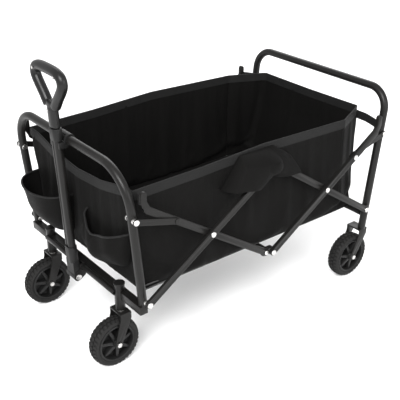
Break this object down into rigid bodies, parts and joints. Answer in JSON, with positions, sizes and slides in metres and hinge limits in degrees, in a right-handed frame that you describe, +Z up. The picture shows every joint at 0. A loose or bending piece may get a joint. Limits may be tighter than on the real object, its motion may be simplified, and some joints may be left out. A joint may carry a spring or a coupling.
{
  "type": "folding wagon with pull handle",
  "caption": "Folding utility wagon: fabric bed hung in scissor side arms between two tube end frames, swivel casters and a telescoping loop-grip pull handle.",
  "frame": {"origin": "on the ground, under the middle of the overall length and width", "axes": "+X forward, to the handle end; +Y to the wagon's left side; +Z up"},
  "size_m": [0.951, 0.6034, 0.7524],
  "materials": {
    "frame_steel": "black powder coat, fine texture",
    "inner_pole_steel": "black powder coat, smoother",
    "fastener_steel": "zinc-plated rivets and bolts",
    "joint_plastic": "moulded black plastic",
    "grip_plastic": "smooth moulded black plastic",
    "wheel_plastic": "moulded black plastic",
    "tyre": "black moulded tread",
    "fabric": "black woven polyester"
  },
  "bodies": {
    "front_frame": {"front_frame_tube": "frame_steel", "front_leg_plugs": "joint_plastic", "front_frame_rivets": "fastener_steel", "front_crossbar": "frame_steel", "caster_sleeves": "frame_steel", "yoke_bars": "frame_steel", "handle_bracket": "frame_steel", "handle_hinge_bolt": "fastener_steel", "handle_clip": "joint_plastic"},
    "front_long_arms": {"front_long_arm_left": "frame_steel", "front_long_arm_right": "frame_steel"},
    "front_tip_arms": {"front_tip_arm_left": "frame_steel", "front_tip_arm_right": "frame_steel", "front_arm_rivets": "fastener_steel"},
    "hub": {"hub_brackets": "frame_steel", "hub_cross_tube": "frame_steel", "hub_pins": "fastener_steel"},
    "bed": {"rim_hangers": "frame_steel", "top_pins": "fastener_steel", "bed_floor": "fabric", "bed_side_left": "fabric", "bed_side_right": "fabric", "bed_front_panel": "fabric", "bed_rear_panel": "fabric", "bed_straps": "fabric", "cup_pouch_left": "fabric", "cup_pouch_right": "fabric"},
    "rear_long_arms": {"rear_long_arm_left": "frame_steel", "rear_long_arm_right": "frame_steel"},
    "rear_tip_arms": {"rear_tip_arm_left": "frame_steel", "rear_tip_arm_right": "frame_steel", "rear_arm_rivets": "fastener_steel"},
    "rear_frame": {"rear_frame_tube": "frame_steel", "rear_frame_rivets": "fastener_steel", "rear_crossbar": "frame_steel", "rear_pivot_ears": "frame_steel", "rear_fork_left": "frame_steel", "rear_fork_right": "frame_steel", "rear_axles": "fastener_steel"},
    "front_links": {"front_links": "frame_steel"},
    "rear_links": {"rear_links": "frame_steel"},
    "handle_base": {"handle_socket": "joint_plastic", "handle_outer_pole": "frame_steel", "handle_collar": "joint_plastic"},
    "handle_slider": {"handle_inner_pole": "inner_pole_steel", "grip_front_shell": "grip_plastic", "grip_rear_shell": "grip_plastic", "grip_screws": "fastener_steel"},
    "caster_left": {"caster_fork_left": "frame_steel", "caster_bolts_left": "fastener_steel"},
    "front_wheel_left": {"wheel_rim_front_left": "wheel_plastic", "tyre_front_left": "tyre"},
    "rear_wheel_left": {"wheel_rim_rear_left": "wheel_plastic", "tyre_rear_left": "tyre"},
    "caster_right": {"caster_fork_right": "frame_steel", "caster_bolts_right": "fastener_steel"},
    "front_wheel_right": {"wheel_rim_front_right": "wheel_plastic", "tyre_front_right": "tyre"},
    "rear_wheel_right": {"wheel_rim_rear_right": "wheel_plastic", "tyre_rear_right": "tyre"}
  },
  "joints": [
    {"name": "fold", "type": "hinge", "parent": "front_frame", "child": "front_long_arms", "pos_m": [0.3725, 0, 0.224], "axis": [0, 1, 0], "range_deg": [0, 50.04], "deforming": ["bed_floor", "bed_side_left", "bed_side_right", "bed_front_panel", "bed_rear_panel", "bed_straps", "cup_pouch_left", "cup_pouch_right"]},
    {"name": "front_arm_cross", "type": "hinge", "parent": "front_long_arms", "child": "front_tip_arms", "pos_m": [0.181, 0, 0.351], "axis": [0, 1, 0], "range_deg": [-88.92, 0]},
    {"name": "hub_pivot", "type": "hinge", "parent": "front_tip_arms", "child": "hub", "pos_m": [-0.0105, 0, 0.224], "axis": [0, 1, 0], "range_deg": [0, 44.47]},
    {"name": "bed_pivot", "type": "hinge", "parent": "front_long_arms", "child": "bed", "pos_m": [-0.0105, 0, 0.478], "axis": [0, 1, 0], "range_deg": [-44.47, 0]},
    {"name": "rear_arm_pivot", "type": "hinge", "parent": "bed", "child": "rear_long_arms", "pos_m": [-0.0265, 0, 0.478], "axis": [0, 1, 0], "range_deg": [-44.47, 0]},
    {"name": "rear_arm_cross", "type": "hinge", "parent": "rear_long_arms", "child": "rear_tip_arms", "pos_m": [-0.218, 0, 0.351], "axis": [0, 1, 0], "range_deg": [0, 88.92]},
    {"name": "rear_frame_pivot", "type": "hinge", "parent": "rear_long_arms", "child": "rear_frame", "pos_m": [-0.4095, 0, 0.224], "axis": [0, 1, 0], "range_deg": [0, 43.89]},
    {"name": "front_link_pivot", "type": "hinge", "parent": "front_frame", "child": "front_links", "pos_m": [0.39783, 0, 0.453], "axis": [0, 1, 0], "range_deg": [0, 99.89]},
    {"name": "rear_link_pivot", "type": "hinge", "parent": "rear_frame", "child": "rear_links", "pos_m": [-0.4526, 0, 0.453], "axis": [0, 1, 0], "range_deg": [-73.91, 0]},
    {"name": "handle_hinge", "type": "hinge", "parent": "front_frame", "child": "handle_base", "pos_m": [0.4119, 0, 0.181], "axis": [0, 1, 0], "range_deg": [0, 90]},
    {"name": "handle_slide", "type": "slide", "parent": "handle_base", "child": "handle_slider", "axis": [0.0447, 0, 0.999], "range_m": [0, 0.25]},
    {"name": "caster_swivel_left", "type": "hinge", "parent": "front_frame", "child": "caster_left", "pos_m": [0.3835, 0.177, 0.154], "axis": [0, 0, 1], "continuous": true},
    {"name": "front_wheel_spin_left", "type": "hinge", "parent": "caster_left", "child": "front_wheel_left", "pos_m": [0.4075, 0.177, 0.068], "axis": [0, 1, 0], "continuous": true},
    {"name": "rear_wheel_spin_left", "type": "hinge", "parent": "rear_frame", "child": "rear_wheel_left", "pos_m": [-0.3825, 0.25, 0.068], "axis": [0, 1, 0], "continuous": true},
    {"name": "caster_swivel_right", "type": "hinge", "parent": "front_frame", "child": "caster_right", "pos_m": [0.3835, -0.177, 0.154], "axis": [0, 0, 1], "continuous": true},
    {"name": "front_wheel_spin_right", "type": "hinge", "parent": "caster_right", "child": "front_wheel_right", "pos_m": [0.4075, -0.177, 0.068], "axis": [0, 1, 0], "continuous": true},
    {"name": "rear_wheel_spin_right", "type": "hinge", "parent": "rear_frame", "child": "rear_wheel_right", "pos_m": [-0.3825, -0.25, 0.068], "axis": [0, 1, 0], "continuous": true}
  ],
  "couplings": [
    {"joint": "front_arm_cross", "follows": "fold", "ratio": -1.7766},
    {"joint": "hub_pivot", "follows": "fold", "ratio": 0.88831},
    {"joint": "bed_pivot", "follows": "fold", "ratio": -0.88831},
    {"joint": "rear_arm_pivot", "follows": "fold", "ratio": -0.88831},
    {"joint": "rear_arm_cross", "follows": "fold", "ratio": 1.7766},
    {"joint": "rear_frame_pivot", "follows": "fold", "ratio": 0.8768},
    {"joint": "front_link_pivot", "follows": "fold", "ratio": 1.9959},
    {"joint": "rear_link_pivot", "follows": "fold", "ratio": -1.4768}
  ]
}
